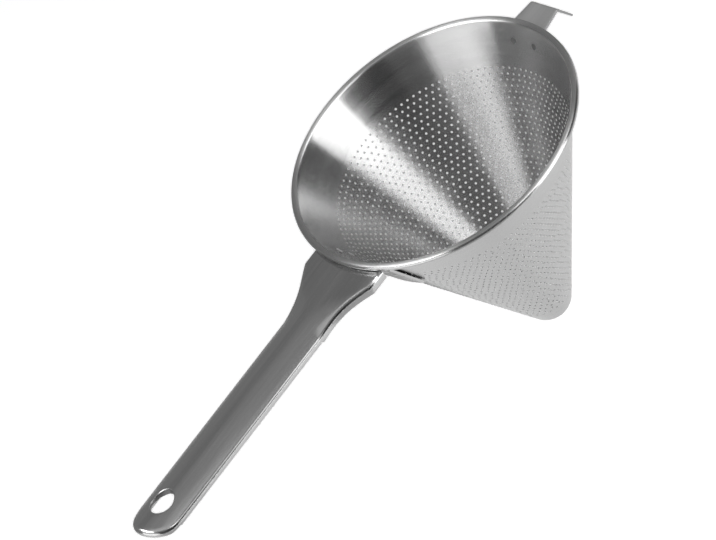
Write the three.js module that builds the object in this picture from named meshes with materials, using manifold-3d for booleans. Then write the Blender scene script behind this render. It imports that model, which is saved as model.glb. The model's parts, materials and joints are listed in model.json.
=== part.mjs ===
// Conical kitchen strainer: a perforated sheet cone with a rolled rim, a pressed channel handle whose
// root folds down into a saddle, and a bent rest hook. The sheets are joined by spot welds.
// Units are millimetres. +Z is up, the origin is the middle of the mouth, and the handle runs along +X.
import * as THREE from 'three';
import { mergeVertices } from 'three/addons/utils/BufferGeometryUtils.js';
import Module from 'manifold-3d';

const wasm = await Module();
wasm.setup();

// Cone sheet
const rimRadius = 90;
const beadRadius = 2;
const lipRadius = 3;
const coneSheet = 0.8;
const coneHalfAngle = THREE.MathUtils.degToRad(26);
const tipRadius = 15;
const beadCurlAngle = THREE.MathUtils.degToRad(225);

// Perforation: each opening stands for a three by three patch of the fine punched holes
const holeDiameter = 5.4;
const holePitch = 12.6;
const ringPitch = 11.2;
const plainBelowWelds = 1.9;
const plainTip = 8;
const holeSides = 6;
const fewestHoles = 3;

// Handle sheet: a flared root, a straight grip with turned-in lips and a round end with a hang hole
const handleSheet = 1.5;
const gapUnderBead = 1;
const rootOverlap = 6;
const rootHalfWidth = 27.4;
const rootReach = 5.5;
const flareLength = 36.5;
const flareLead = 11.5;
const flareNarrowing = 5.9;
const flareRunOut = 18;
const gripHalfWidth = 15.8;
const gripLength = 125;
const gripCrown = 4.5;
const gripLip = 3.6;
const shoulderRadius = 2.8;
const rootWall = 3.4;
const gripWall = 2.2;
const endWall = 0.6;
const wallRamp = 3;
const endStraight = 7.2;
const hangHoleLength = 17.5;
const hangHoleWidth = 15.5;
const hangHoleToEnd = 21.7;
const hangHoleCollar = 1.2;
const hangHoleDepth = 4.5;

// Saddle, the part of the handle sheet that hugs the cone
const saddleNeck = 4.5;
const saddleFoot = 18.2;
const saddleEar = 5.2;
const saddleCorner = 2.5;
const foldRelief = 3.4;
const foldRadius = 2.2;

// Rest hook
const hookSheet = 1.2;
const hookReach = 15;
const hookLip = 15.5;
const hookLipAngle = THREE.MathUtils.degToRad(63);
const hookLegNeck = 3.3;
const hookLegFoot = 9.1;
const hookLegEdge = 4.3;
const hookFoldRadius = 1.8;
const hookLegHalfWidth = 15;
const hookTabHalfWidth = 10.8;
const hookCorner = 4;

// Spot welds
const weldRadius = 2;
const weldDish = 0.1;
const weldBridge = 3.4;
const weldToNeck = 1.7;
const weldInset = 7.9;
const weldSides = 12;

// Fits and facets
const clearance = 0.3;
const cutOverlap = 0.5;
const rimFacets = 72;
const tipFacets = 24;

// Levels and places that follow from the sizes
const weldHole = weldRadius + clearance;
const sheetTop = -2 * beadRadius - gapUnderBead;
const flareStart = rimRadius + rootReach;
const gripStart = flareStart + flareLength;
const wallEnd = gripStart + gripLength;
const endMiddle = wallEnd + endStraight;
const handleEnd = endMiddle + gripHalfWidth;
const plateInner = rimRadius - beadRadius;
const saddleTop = sheetTop - saddleNeck;
const foldHalfAngle = Math.asin((rootHalfWidth - foldRelief) / plateInner);
const saddleHalfAngle = foldHalfAngle + saddleEar / plateInner;
const saddleWeldTop = saddleTop - weldHole - weldToNeck;
const saddleWeldHeights = [saddleWeldTop, saddleWeldTop - 2 * weldHole - weldBridge];
const saddleWeldAngles = [-1, 0, 1].map((side) => side * (saddleHalfAngle - weldInset / plateInner));
const saddleBottom = saddleWeldHeights[1] - weldHole - saddleFoot;
const hookWeldHeight = sheetTop - weldHole - hookLegNeck;
const hookLegBottom = hookWeldHeight - weldHole - hookLegFoot;
const hookWeldSpread = hookLegHalfWidth - weldHole - hookLegEdge;

const steel = (color, roughness) => new THREE.MeshStandardMaterial({ color, roughness, metalness: 1 });
const coneSteel = steel(0xb4b4b4, 0.3);
const handleSteel = steel(0x9a9a9a, 0.22);
const hookSteel = steel(0xa4a4a4, 0.28);
const weldSteel = steel(0x7c7c7c, 0.45);

const sinCone = Math.sin(coneHalfAngle);
const cosCone = Math.cos(coneHalfAngle);
const tanCone = Math.tan(coneHalfAngle);

// The curl's middle, and the inner face of the wall that runs tangent into the rounded lip
const beadMiddle = new THREE.Vector2(rimRadius - beadRadius, -beadRadius);
const innerMouth = beadMiddle.x - lipRadius * (1 - sinCone) / cosCone;

// Radius of the wall at height z; offset is measured outwards and square to the inner face
const wallRadius = (z, offset) => innerMouth + z * tanCone + offset / cosCone;

// A point of the wall from its azimuth, slant distance below the mouth and offset from the inner face
function wallPoint(azimuth, slant, offset) {
  const radius = innerMouth - slant * sinCone + offset * cosCone;
  const height = -slant * cosCone - offset * sinCone;
  return new THREE.Vector3(radius * Math.cos(azimuth), radius * Math.sin(azimuth), height);
}

// Closed geometry from points and triangles, turned so that its faces point out
function closedGeometry(points, triangles) {
  let volume = 0;
  for (const [a, b, c] of triangles) {
    volume += points[a].dot(points[b].clone().cross(points[c]));
  }
  const index = triangles.flatMap(([a, b, c]) => (volume < 0 ? [a, c, b] : [a, b, c]));
  const geometry = new THREE.BufferGeometry().setFromPoints(points);
  geometry.setIndex(index);
  return geometry;
}

// A solid through matching outlines; place turns an outline's point and step number into space
function loft(outlines, place) {
  const points = outlines.flatMap((outline, step) => outline.map((point) => place(point, step)));
  const count = outlines[0].length;
  const last = (outlines.length - 1) * count;
  const triangles = [];
  for (let start = 0; start < last; start += count) {
    for (let i = 0; i < count; i += 1) {
      const a = start + i;
      const b = start + (i + 1) % count;
      triangles.push([a, b, b + count], [a, b + count, a + count]);
    }
  }
  for (const [a, b, c] of THREE.ShapeUtils.triangulateShape(outlines[0], [])) {
    triangles.push(THREE.ShapeUtils.isClockWise(outlines[0]) ? [a, b, c] : [a, c, b]);
  }
  for (const [a, b, c] of THREE.ShapeUtils.triangulateShape(outlines.at(-1), [])) {
    const cap = THREE.ShapeUtils.isClockWise(outlines.at(-1)) ? [a, c, b] : [a, b, c];
    triangles.push(cap.map((corner) => corner + last));
  }
  return closedGeometry(points, triangles);
}

// Boolean work: a geometry as a solid, and a solid back as a geometry
function solidOf(geometry) {
  const bare = geometry.clone();
  bare.deleteAttribute('normal');
  bare.deleteAttribute('uv');
  const merged = mergeVertices(bare, 1e-5);
  const vertProperties = new Float32Array(merged.getAttribute('position').array);
  const triVerts = new Uint32Array(merged.getIndex().array);
  return new wasm.Manifold(new wasm.Mesh({ numProp: 3, vertProperties, triVerts }));
}

function geometryOf(solid) {
  const mesh = solid.getMesh();
  const geometry = new THREE.BufferGeometry();
  geometry.setAttribute('position', new THREE.BufferAttribute(new Float32Array(mesh.vertProperties), 3));
  geometry.setIndex(new THREE.BufferAttribute(new Uint32Array(mesh.triVerts), 1));
  return geometry;
}

function namedMesh(name, geometry, material) {
  const mesh = new THREE.Mesh(geometry, material);
  mesh.name = name;
  return mesh;
}

const arcPoints = (middle, radius, from, to, steps) => Array.from({ length: steps + 1 }, (_, i) => {
  const angle = from + (to - from) * i / steps;
  return new THREE.Vector2(middle.x + radius * Math.cos(angle), middle.y + radius * Math.sin(angle));
});

// A spot weld is a slug square to the wall; this turns a cylinder from along Y onto that line
function weldSlug(azimuth, height, radius, start, length) {
  const slug = new THREE.CylinderGeometry(radius, radius, length, weldSides);
  const outward = new THREE.Vector3(cosCone * Math.cos(azimuth), cosCone * Math.sin(azimuth), -sinCone);
  const turn = new THREE.Quaternion().setFromUnitVectors(new THREE.Vector3(0, 1, 0), outward);
  const foot = wallPoint(azimuth, -height / cosCone, 0);
  const middle = foot.addScaledVector(outward, start + length / 2);
  slug.applyQuaternion(turn);
  slug.translate(middle.x, middle.y, middle.z);
  return slug;
}

// Places of the welds: the two on the hook and the rows on the saddle
const hookWeldRadius = wallRadius(hookWeldHeight, 0);
const hookWelds = [-1, 1].map((side) => ({
  name: side < 0 ? 'hook_weld_right' : 'hook_weld_left',
  azimuth: Math.PI + side * Math.asin(hookWeldSpread / hookWeldRadius),
  height: hookWeldHeight,
  reach: coneSheet + clearance + hookSheet,
}));
const saddleWelds = saddleWeldHeights.flatMap((height, row) => saddleWeldAngles.map((angle, column) => ({
  name: `saddle_weld_${row * saddleWeldAngles.length + column + 1}`,
  azimuth: angle,
  height,
  reach: coneSheet + clearance + handleSheet,
})));

// Every weld's hole through the sheets, with room around the slug
const holeOvershoot = 2;
const weldDrill = (weld) => weldSlug(
  weld.azimuth, weld.height, weldRadius + clearance, -holeOvershoot, weld.reach + 2 * holeOvershoot);
const drillAll = (solid, welds) => welds.reduce(
  (rest, weld) => rest.subtract(solidOf(weldDrill(weld))), solid);

// Triangles between two closed rows of points that both run round the axis by rising azimuth
function zipRows(upper, lower, triangles) {
  const turn = 2 * Math.PI;
  const away = (point) => Math.abs(point.azimuth - upper[0].azimuth);
  const start = lower.reduce((best, point, i) => (away(point) < away(lower[best]) ? i : best), 0);
  const at = (row, i) => ({
    id: row[i % row.length].id,
    azimuth: row[i % row.length].azimuth + turn * Math.floor(i / row.length),
  });
  let i = 0;
  let j = 0;
  while (i < upper.length || j < lower.length) {
    const a = at(upper, i);
    const b = at(lower, start + j);
    const nextUpper = at(upper, i + 1);
    const nextLower = at(lower, start + j + 1);
    const takeUpper = j >= lower.length || (i < upper.length && nextUpper.azimuth <= nextLower.azimuth);
    triangles.push(takeUpper ? [a.id, b.id, nextUpper.id] : [a.id, b.id, nextLower.id]);
    i += takeUpper ? 1 : 0;
    j += takeUpper ? 0 : 1;
  }
}

// The meridian of the plain band and the rolled rim, from the inner face over the lip to the outer face
function rimProfile(bandSlant) {
  const lipSteps = 2;
  const curlSteps = 6;
  const insideSteps = 4;
  const lipMiddle = new THREE.Vector2(beadMiddle.x, -lipRadius);
  const lipStart = Math.PI - coneHalfAngle;
  const curlEnd = Math.PI / 2 - beadCurlAngle;
  const inner = beadRadius - coneSheet;
  const face = (offset) => new THREE.Vector2(
    innerMouth - bandSlant * sinCone + offset * cosCone, -bandSlant * cosCone - offset * sinCone);
  return [
    face(0),
    ...arcPoints(lipMiddle, lipRadius, lipStart, Math.PI / 2, lipSteps),
    ...arcPoints(beadMiddle, beadRadius, Math.PI / 2, curlEnd, curlSteps).slice(1),
    ...arcPoints(beadMiddle, inner, curlEnd, Math.PI / 2, insideSteps),
    ...arcPoints(lipMiddle, lipRadius - coneSheet, Math.PI / 2, lipStart, lipSteps).slice(1),
    face(coneSheet),
  ];
}

// The cone: rim band, rings of punched openings and the rounded tip, on an inner and an outer face
function perforatedCone() {
  const points = [];
  const triangles = [];
  const add = (point) => points.push(point) - 1;
  const slantEnd = innerMouth / sinCone - (tipRadius - coneSheet) / tanCone;
  const bandEnd = (weldHole - saddleWeldHeights[1]) / cosCone + plainBelowWelds;
  const firstRing = bandEnd + holeDiameter;
  const rings = Math.floor((slantEnd - plainTip - firstRing) / ringPitch) + 1;
  const spin = (count, i, shift) => 2 * Math.PI * (i + shift) / count;

  // Rim band: each point of the meridian goes round the axis
  const profile = rimProfile(bandEnd);
  const bandRows = profile.map((point) => Array.from({ length: rimFacets }, (_, i) => {
    const azimuth = spin(rimFacets, i, 0);
    const place = new THREE.Vector3(point.x * Math.cos(azimuth), point.x * Math.sin(azimuth), point.y);
    return { azimuth, id: add(place) };
  }));
  for (let row = 0; row + 1 < bandRows.length; row += 1) {
    for (let i = 0; i < rimFacets; i += 1) {
      const next = (i + 1) % rimFacets;
      const [a, b] = [bandRows[row][i].id, bandRows[row][next].id];
      const [c, d] = [bandRows[row + 1][i].id, bandRows[row + 1][next].id];
      triangles.push([a, d, b], [a, c, d]);
    }
  }

  // Rings of openings: corner 0 is the left one, the first half runs over the top of the opening
  const openings = Array.from({ length: rings }, (_, ring) => {
    const slant = firstRing + ring * ringPitch;
    const radius = innerMouth - slant * sinCone;
    const count = Math.max(fewestHoles, Math.round(2 * Math.PI * radius / holePitch));
    return Array.from({ length: count }, (_, i) => Array.from({ length: holeSides }, (_, corner) => {
      const angle = Math.PI - 2 * Math.PI * corner / holeSides;
      const across = Math.cos(angle) * holeDiameter / 2;
      const rise = Math.sin(angle) * holeDiameter / 2;
      return { azimuth: spin(count, i, 0.5 + ring % 2 / 2) + across / radius, slant: slant - rise };
    }));
  });
  const half = holeSides / 2;
  const onFace = (offset) => ({ azimuth, slant }) => ({
    azimuth,
    id: add(wallPoint(azimuth, slant, offset)),
  });
  const faceRows = [0, coneSheet].map((offset) => (
    openings.map((ring) => ring.map((hole) => hole.map(onFace(offset))))));

  // Rounded tip: rows from the end of the cone to the pole
  const tipSteps = 3;
  const tipMiddle = -(innerMouth / tanCone - (tipRadius - coneSheet) / sinCone);
  const tipRows = [tipRadius - coneSheet, tipRadius].map((radius) => {
    const rows = Array.from({ length: tipSteps }, (_, step) => Array.from({ length: tipFacets }, (_, i) => {
      const fall = coneHalfAngle + (Math.PI / 2 - coneHalfAngle) * step / tipSteps;
      const azimuth = spin(tipFacets, i, 0);
      const across = radius * Math.cos(fall);
      const place = new THREE.Vector3(
        across * Math.cos(azimuth), across * Math.sin(azimuth), tipMiddle - radius * Math.sin(fall));
      return { azimuth, id: add(place) };
    }));
    return { rows, pole: add(new THREE.Vector3(0, 0, tipMiddle - radius)) };
  });

  // Zip the rows of each face together; the inner face is the outer one turned over
  faceRows.forEach((ringRows, face) => {
    const sheet = [];
    let upper = bandRows.at(face === 0 ? 0 : -1);
    for (const ring of ringRows) {
      const over = ring.flatMap((hole) => hole.slice(0, half + 1));
      const under = ring.flatMap((hole) => [hole[0], ...hole.slice(half).reverse()]);
      zipRows(upper, over, sheet);
      upper = under;
    }
    for (const row of tipRows[face].rows) {
      zipRows(upper, row, sheet);
      upper = row;
    }
    upper.forEach((point, i) => {
      sheet.push([point.id, tipRows[face].pole, upper[(i + 1) % upper.length].id]);
    });
    triangles.push(...(face === 0 ? sheet.map(([a, b, c]) => [a, c, b]) : sheet));
  });

  // Walls of the openings
  openings.forEach((ring, r) => ring.forEach((hole, h) => hole.forEach((_, corner) => {
    const next = (corner + 1) % holeSides;
    const [a, b] = [faceRows[0][r][h][corner].id, faceRows[0][r][h][next].id];
    const [c, d] = [faceRows[1][r][h][corner].id, faceRows[1][r][h][next].id];
    triangles.push([a, b, d], [a, d, c]);
  })));

  const sheet = solidOf(closedGeometry(points, triangles));
  return geometryOf(drillAll(sheet, [...hookWelds, ...saddleWelds]));
}

// A bent sheet's outline: a middle line with rounded corners, thickened to both sides
function bentSheet(corners, radius, thickness) {
  const steps = 4;
  const straightEnough = 0.001;
  const line = [];
  corners.forEach((corner, i) => {
    const before = corners[Math.max(0, i - 1)];
    const after = corners[Math.min(corners.length - 1, i + 1)];
    const inward = corner.clone().sub(before).normalize();
    const onward = after.clone().sub(corner).normalize();
    const bend = Math.atan2(inward.cross(onward), inward.dot(onward));
    if (i === 0 || i === corners.length - 1 || Math.abs(bend) < straightEnough) {
      line.push({ point: corner, along: i === 0 ? onward : inward });
      return;
    }
    const setback = radius * Math.tan(Math.abs(bend) / 2);
    const side = Math.sign(bend);
    const start = corner.clone().addScaledVector(inward, -setback);
    const middle = new THREE.Vector2(start.x - inward.y * radius * side, start.y + inward.x * radius * side);
    for (let step = 0; step <= steps; step += 1) {
      const turn = bend * step / steps;
      const along = inward.clone().rotateAround(new THREE.Vector2(), turn);
      const point = new THREE.Vector2(middle.x + along.y * radius * side, middle.y - along.x * radius * side);
      line.push({ point, along });
    }
  });
  const face = (side) => line.map(({ point, along }) => new THREE.Vector2(
    point.x - along.y * side * thickness / 2, point.y + along.x * side * thickness / 2));
  return [...face(1), ...face(-1).reverse()];
}

// Middle line of a sheet that lies on the outside of the cone, as radius and height
const onCone = (z, sheet) => new THREE.Vector2(wallRadius(z, coneSheet + clearance + sheet / 2), z);

// How far a rounded corner draws an edge back, by the distance from the side
const cornerCut = (radius, distance) => (
  radius - Math.sqrt(radius ** 2 - Math.max(0, radius - Math.max(0, distance)) ** 2));

// The handle's plan where it narrows from the straight-sided root to the grip
const flare = new THREE.CubicBezierCurve(
  new THREE.Vector2(flareStart, rootHalfWidth),
  new THREE.Vector2(flareStart + flareLead, rootHalfWidth - flareNarrowing),
  new THREE.Vector2(gripStart - flareRunOut, gripHalfWidth),
  new THREE.Vector2(gripStart, gripHalfWidth));

// Stations along the handle: position, half width, crown of the top and depth of the walls
function handleStations() {
  const depthWith = (wall, crown = gripCrown) => crown + shoulderRadius + wall;
  const grip = { half: gripHalfWidth, crown: gripCrown };
  const flareSteps = 9;
  const roundSteps = 7;
  const lastAngle = THREE.MathUtils.degToRad(84);
  const narrowing = Array.from({ length: flareSteps + 1 }, (_, step) => {
    const share = step / flareSteps;
    const place = flare.getPoint(share);
    const crown = gripCrown * share ** 2;
    const wall = THREE.MathUtils.lerp(rootWall, gripWall, share);
    return { x: place.x, half: place.y, crown, depth: depthWith(wall, crown) };
  });
  const root = [{ ...narrowing[0], x: rimRadius - rootOverlap }, ...narrowing];
  const straight = [
    { ...grip, x: gripStart + wallRamp, depth: depthWith(gripWall) },
    { ...grip, x: wallEnd - wallRamp, depth: depthWith(gripWall) },
    { ...grip, x: wallEnd, depth: depthWith(endWall) },
  ];
  const round = Array.from({ length: roundSteps + 1 }, (_, step) => {
    const angle = lastAngle * step / roundSteps;
    const half = gripHalfWidth * Math.cos(angle);
    const crown = gripCrown * Math.cos(angle) ** 2;
    const x = endMiddle + gripHalfWidth * Math.sin(angle);
    return { x, half, crown, depth: depthWith(endWall, crown) };
  });
  return { root, straight, round };
}

// Outline of the handle at one station: bottom corner, rounded shoulder, crowned top and back down
function channelOutline(station, inset, floor) {
  const sharpest = 0.4;
  const shoulderShare = 0.6;
  const shoulderSteps = 3;
  const crownSteps = 6;
  const half = station.half - inset;
  const radius = Math.min(Math.max(shoulderRadius - inset, sharpest), half * shoulderShare);
  const top = sheetTop - inset;
  const slope = Math.atan2(2 * station.crown, half);
  const crownHalf = half - radius * (1 - Math.sin(slope));
  const middle = new THREE.Vector2(half - radius, top - station.crown - radius * Math.cos(slope));
  const shoulder = arcPoints(middle, radius, 0, Math.PI / 2 - slope, shoulderSteps);
  const crown = Array.from({ length: crownSteps - 1 }, (_, i) => {
    const share = 1 - 2 * (i + 1) / crownSteps;
    return new THREE.Vector2(crownHalf * share, top - station.crown * share ** 2);
  });
  const mirrored = shoulder.map((point) => new THREE.Vector2(-point.x, point.y)).reverse();
  const feet = [half, -half].map((y) => new THREE.Vector2(y, floor));
  return [feet[0], ...shoulder, ...crown, ...mirrored, feet[1]];
}

// A block through the stations with the channel's outline; floorOf gives each station's underside
function channelBlock(stations, inset, floorOf) {
  const outlines = stations.map((station) => channelOutline(station, inset, floorOf(station)));
  return solidOf(loft(outlines, (point, step) => new THREE.Vector3(stations[step].x, point.x, point.y)));
}

// A sheet that follows the cone round the axis; outlineAt gives its section at each azimuth
function roundSheet(azimuths, outlineAt) {
  return solidOf(loft(azimuths.map(outlineAt), (point, step) => new THREE.Vector3(
    point.x * Math.cos(azimuths[step]), point.x * Math.sin(azimuths[step]), point.y)));
}

// An upright prism over an ellipse, for the hang hole and its turned-down edge
function ellipsePrism(x, length, width, bottom, top) {
  const sides = 20;
  const ellipse = new THREE.EllipseCurve(0, 0, length / 2, width / 2).getPoints(sides).slice(0, sides);
  const extrusion = { depth: top - bottom, bevelEnabled: false };
  const prism = new THREE.ExtrudeGeometry(new THREE.Shape(ellipse), extrusion);
  prism.translate(x, 0, bottom);
  return solidOf(prism);
}

function channelHandle() {
  const { root, straight, round } = handleStations();
  const outer = channelBlock([...root, ...straight, ...round], 0, (station) => sheetTop - station.depth);

  // The hollow: open below at the root and the end, with turned-in lips along the grip
  const below = 2 * saddleBottom;
  const gripDepth = straight[0].depth;
  const lipStart = gripStart + wallRamp / 2;
  const lipTop = sheetTop - gripDepth + handleSheet;
  const grip = (x) => ({ x, half: gripHalfWidth, crown: gripCrown });
  const roundInside = round.filter((station) => station.half > 2 * handleSheet).map((station) => ({
    ...station,
    x: endMiddle + (station.x - endMiddle) * (1 - handleSheet / gripHalfWidth),
  }));
  const rootMouth = { ...root[0], x: root[0].x - cutOverlap };
  const rootInside = [rootMouth, ...root.slice(1, -1), grip(lipStart)];
  const rootHollow = channelBlock(rootInside, handleSheet, () => below);
  const gripHollow = channelBlock([grip(lipStart - cutOverlap), grip(wallEnd)], handleSheet, () => lipTop);
  const endHollow = channelBlock([grip(wallEnd - cutOverlap), ...roundInside], handleSheet, () => below);
  const slot = new THREE.BoxGeometry(
    wallEnd - lipStart + 2 * cutOverlap, 2 * (gripHalfWidth - gripLip), -below);
  slot.translate((lipStart + wallEnd) / 2, 0, sheetTop - gripDepth / 2 + below / 2);

  // The hang hole with its edge turned down
  const holeX = handleEnd - hangHoleToEnd;
  const collarWidth = hangHoleWidth + 2 * hangHoleCollar;
  const collarLength = hangHoleLength + 2 * hangHoleCollar;
  const collar = ellipsePrism(holeX, collarLength, collarWidth, sheetTop - hangHoleDepth, 0).intersect(outer);
  const hole = ellipsePrism(holeX, hangHoleLength, hangHoleWidth, below, -below);

  // The plate stops short of the cone on a circle, where the fold takes over
  const coneRoom = new THREE.CylinderGeometry(plateInner, plateInner, -2 * below, 2 * rimFacets);
  coneRoom.rotateX(Math.PI / 2);
  const channel = outer.subtract(rootHollow).subtract(gripHollow).subtract(endHollow).subtract(solidOf(slot))
    .add(collar).subtract(hole).subtract(solidOf(coneRoom));

  // The fold turns the plate down along the cone
  const foldSteps = 9;
  const plateMiddle = sheetTop - handleSheet / 2;
  const plateEdge = new THREE.Vector2(plateInner + 2 * beadRadius, plateMiddle);
  const foldLine = [plateEdge, onCone(plateMiddle, handleSheet), onCone(saddleTop - foldRadius, handleSheet)];
  const foldOutline = bentSheet(foldLine, foldRadius, handleSheet);
  const foldAzimuths = Array.from(
    { length: foldSteps + 1 }, (_, i) => foldHalfAngle * (2 * i / foldSteps - 1));
  const fold = roundSheet(foldAzimuths, () => foldOutline);

  // The saddle below it is wider, with rounded lower corners
  const corner = Math.min(saddleCorner, saddleEar);
  const cornerShares = [0, 0.3, 1];
  const earAzimuths = cornerShares.map((share) => saddleHalfAngle - share * corner / plateInner);
  const saddleAzimuths = [
    ...earAzimuths.map((azimuth) => -azimuth), ...foldAzimuths.slice(1, -1), ...earAzimuths.toReversed()];
  const saddle = roundSheet(saddleAzimuths, (azimuth) => {
    const fromEdge = (saddleHalfAngle - Math.abs(azimuth)) * plateInner;
    const foot = saddleBottom + cornerCut(corner, fromEdge);
    return bentSheet([onCone(saddleTop, handleSheet), onCone(foot, handleSheet)], foldRadius, handleSheet);
  });
  return geometryOf(drillAll(channel.add(fold).add(saddle), saddleWelds));
}

// The hook: a leg on the cone, a level tab under the bead and a lip that slopes down and out
function restHook() {
  const level = sheetTop - hookSheet / 2;
  const foot = onCone(hookLegBottom, hookSheet);
  const corner = onCone(level, hookSheet);
  const reach = new THREE.Vector2(rimRadius + hookReach, level);
  const down = new THREE.Vector2(Math.cos(hookLipAngle), -Math.sin(hookLipAngle));
  const cornerShares = [1, 0.4, 0];
  const lipPoints = cornerShares.map(
    (share) => reach.clone().addScaledVector(down, hookLip - share * hookCorner));
  const outline = bentSheet([foot, corner, reach, ...lipPoints], hookFoldRadius, hookSheet);
  const halfWidthAt = (point) => {
    const share = THREE.MathUtils.clamp((point.x - foot.x) / (reach.x - foot.x), 0, 1);
    const toEnd = hookLip - point.clone().sub(reach).dot(down);
    const rounding = cornerCut(hookCorner, toEnd);
    return THREE.MathUtils.lerp(hookLegHalfWidth, hookTabHalfWidth, share) - rounding;
  };
  const shares = [-1, -0.6, -0.2, 0.2, 0.6, 1];
  const strip = loft(shares.map(() => outline), (point, step) => {
    const y = shares[step] * halfWidthAt(point);
    const hug = THREE.MathUtils.clamp((rimRadius - point.x) / (rimRadius - corner.x), 0, 1);
    const sag = point.x - Math.sqrt(point.x ** 2 - y ** 2);
    return new THREE.Vector3(-(point.x - hug * sag), y, point.y);
  });
  return geometryOf(drillAll(solidOf(strip), hookWelds));
}

const strainer = new THREE.Group();
strainer.add(namedMesh('strainer_cone', perforatedCone(), coneSteel));
strainer.add(namedMesh('handle', channelHandle(), handleSteel));
strainer.add(namedMesh('rest_hook', restHook(), hookSteel));
for (const weld of [...hookWelds, ...saddleWelds]) {
  const slug = weldSlug(weld.azimuth, weld.height, weldRadius, weldDish, weld.reach - 2 * weldDish);
  strainer.add(namedMesh(weld.name, slug, weldSteel));
}

export default strainer;
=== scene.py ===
import json
import math

import bmesh
import bpy
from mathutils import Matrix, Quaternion, Vector

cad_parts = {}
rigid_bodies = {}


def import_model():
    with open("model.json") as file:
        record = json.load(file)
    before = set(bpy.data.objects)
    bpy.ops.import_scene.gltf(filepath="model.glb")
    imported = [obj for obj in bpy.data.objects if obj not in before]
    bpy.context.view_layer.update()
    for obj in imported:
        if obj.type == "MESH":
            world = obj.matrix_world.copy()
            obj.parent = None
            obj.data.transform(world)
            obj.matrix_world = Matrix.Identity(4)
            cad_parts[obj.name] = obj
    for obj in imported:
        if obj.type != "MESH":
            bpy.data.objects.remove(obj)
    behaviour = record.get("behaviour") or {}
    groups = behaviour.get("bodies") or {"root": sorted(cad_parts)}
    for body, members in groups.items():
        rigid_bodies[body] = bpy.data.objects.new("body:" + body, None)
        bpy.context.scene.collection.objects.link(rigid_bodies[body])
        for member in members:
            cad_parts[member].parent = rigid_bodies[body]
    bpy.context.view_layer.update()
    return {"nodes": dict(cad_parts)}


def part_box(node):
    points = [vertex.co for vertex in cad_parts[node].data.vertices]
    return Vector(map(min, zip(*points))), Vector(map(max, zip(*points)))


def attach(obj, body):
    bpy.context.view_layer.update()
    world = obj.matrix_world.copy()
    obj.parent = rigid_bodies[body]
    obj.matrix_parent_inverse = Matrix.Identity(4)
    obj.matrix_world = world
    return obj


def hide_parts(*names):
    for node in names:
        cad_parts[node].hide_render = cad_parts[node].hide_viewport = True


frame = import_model()


# The cone: one sheet of thin stainless steel, punched with rings of fine holes, rolled to a cone with
# a rounded tip and brushed round its axis. At the mouth the sheet turns over a lip and curls into a bead.
mm = 0.001
tiny = 0.001 * mm
rim_radius = 90 * mm
bead_radius = 2 * mm
bead_curl = math.radians(225)
lip_radius = 3 * mm
cone_sheet = 0.8 * mm
cone_angle = math.radians(26)
tip_inside = 14.2 * mm
hole_radius = 0.72 * mm
hole_sides = 10
first_ring = 29.7 * mm
ring_step = 3.73 * mm
seam_room = 0.2 * mm
merge_distance = 0.02 * mm
smooth_angle = math.radians(35)
hole_blocks = [
    (109, 2), (100, 4), (92, 4), (84, 4), (75, 3), (67, 4), (58, 3), (50, 3), (42, 3), (34, 3), (26, 2),
]
bead_middle = rim_radius - bead_radius
mouth_radius = bead_middle - lip_radius * (1 - math.sin(cone_angle)) / math.cos(cone_angle)


def on_cone(azimuth, slant, offset=0.0):
    """A point of the cone: slant runs down the wall, and offset stands out from its inner face."""
    radius = mouth_radius - slant * math.sin(cone_angle) + offset * math.cos(cone_angle)
    height = -slant * math.cos(cone_angle) - offset * math.sin(cone_angle)
    return Vector((radius * math.cos(azimuth), radius * math.sin(azimuth), height))


def round_axis(point, radius, height):
    """A point at the same azimuth as the given one, at a new radius and height."""
    azimuth = math.atan2(point.y, point.x)
    return Vector((radius * math.cos(azimuth), radius * math.sin(azimuth), height))


def start_piece(name):
    """An empty piece at the origin, opened for modelling."""
    bpy.ops.object.select_all(action="DESELECT")
    bpy.ops.object.add(type="MESH", location=(0, 0, 0))
    piece = bpy.context.object
    piece.name = name
    piece.data.name = name
    bpy.ops.object.mode_set(mode="EDIT")
    bpy.ops.mesh.select_mode(type="EDGE")
    return piece


def move_selected(piece, place):
    """Puts each selected point where place says."""
    skin = bmesh.from_edit_mesh(piece.data)
    for point in skin.verts:
        if point.select:
            point.co = place(point.co)
    bmesh.update_edit_mesh(piece.data)


def pull(piece, place):
    """Extrudes the selected edges by one step and puts each new point where place says."""
    bpy.ops.mesh.extrude_region_move()
    move_selected(piece, place)


def pick_free_edges(piece, wanted):
    """Selects only the free edges whose two ends are both wanted."""
    bpy.ops.mesh.select_all(action="DESELECT")
    skin = bmesh.from_edit_mesh(piece.data)
    for edge in skin.edges:
        if edge.is_boundary and all(wanted(end.co) for end in edge.verts):
            edge.select_set(True)
    bmesh.update_edit_mesh(piece.data)


def face_outwards(piece, outward):
    """Turns all faces one way, so that the faces that outward gives a direction for look along it."""
    bpy.ops.mesh.select_all(action="SELECT")
    bpy.ops.mesh.normals_make_consistent(inside=False)
    skin = bmesh.from_edit_mesh(piece.data)
    skin.normal_update()
    agreement = sum(face.normal.dot(outward(face.calc_center_median())) for face in skin.faces)
    if agreement < 0:
        bpy.ops.mesh.flip_normals()


def finish_sheet(piece, thickness, offset, edge_round):
    """Gives a sheet its thickness and rounded edges, closes the modelling and shades it."""
    bpy.ops.object.mode_set(mode="OBJECT")
    wall = piece.modifiers.new("sheet thickness", "SOLIDIFY")
    wall.thickness = thickness
    wall.offset = offset
    wall.use_even_offset = True
    bpy.ops.object.modifier_apply(modifier=wall.name)
    if edge_round > 0:
        rounding = piece.modifiers.new("rounded edges", "BEVEL")
        rounding.width = edge_round
        rounding.segments = 2
        rounding.limit_method = "ANGLE"
        rounding.angle_limit = math.radians(50)
        bpy.ops.object.modifier_apply(modifier=rounding.name)
    bpy.ops.object.shade_smooth_by_angle(angle=smooth_angle)


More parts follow.
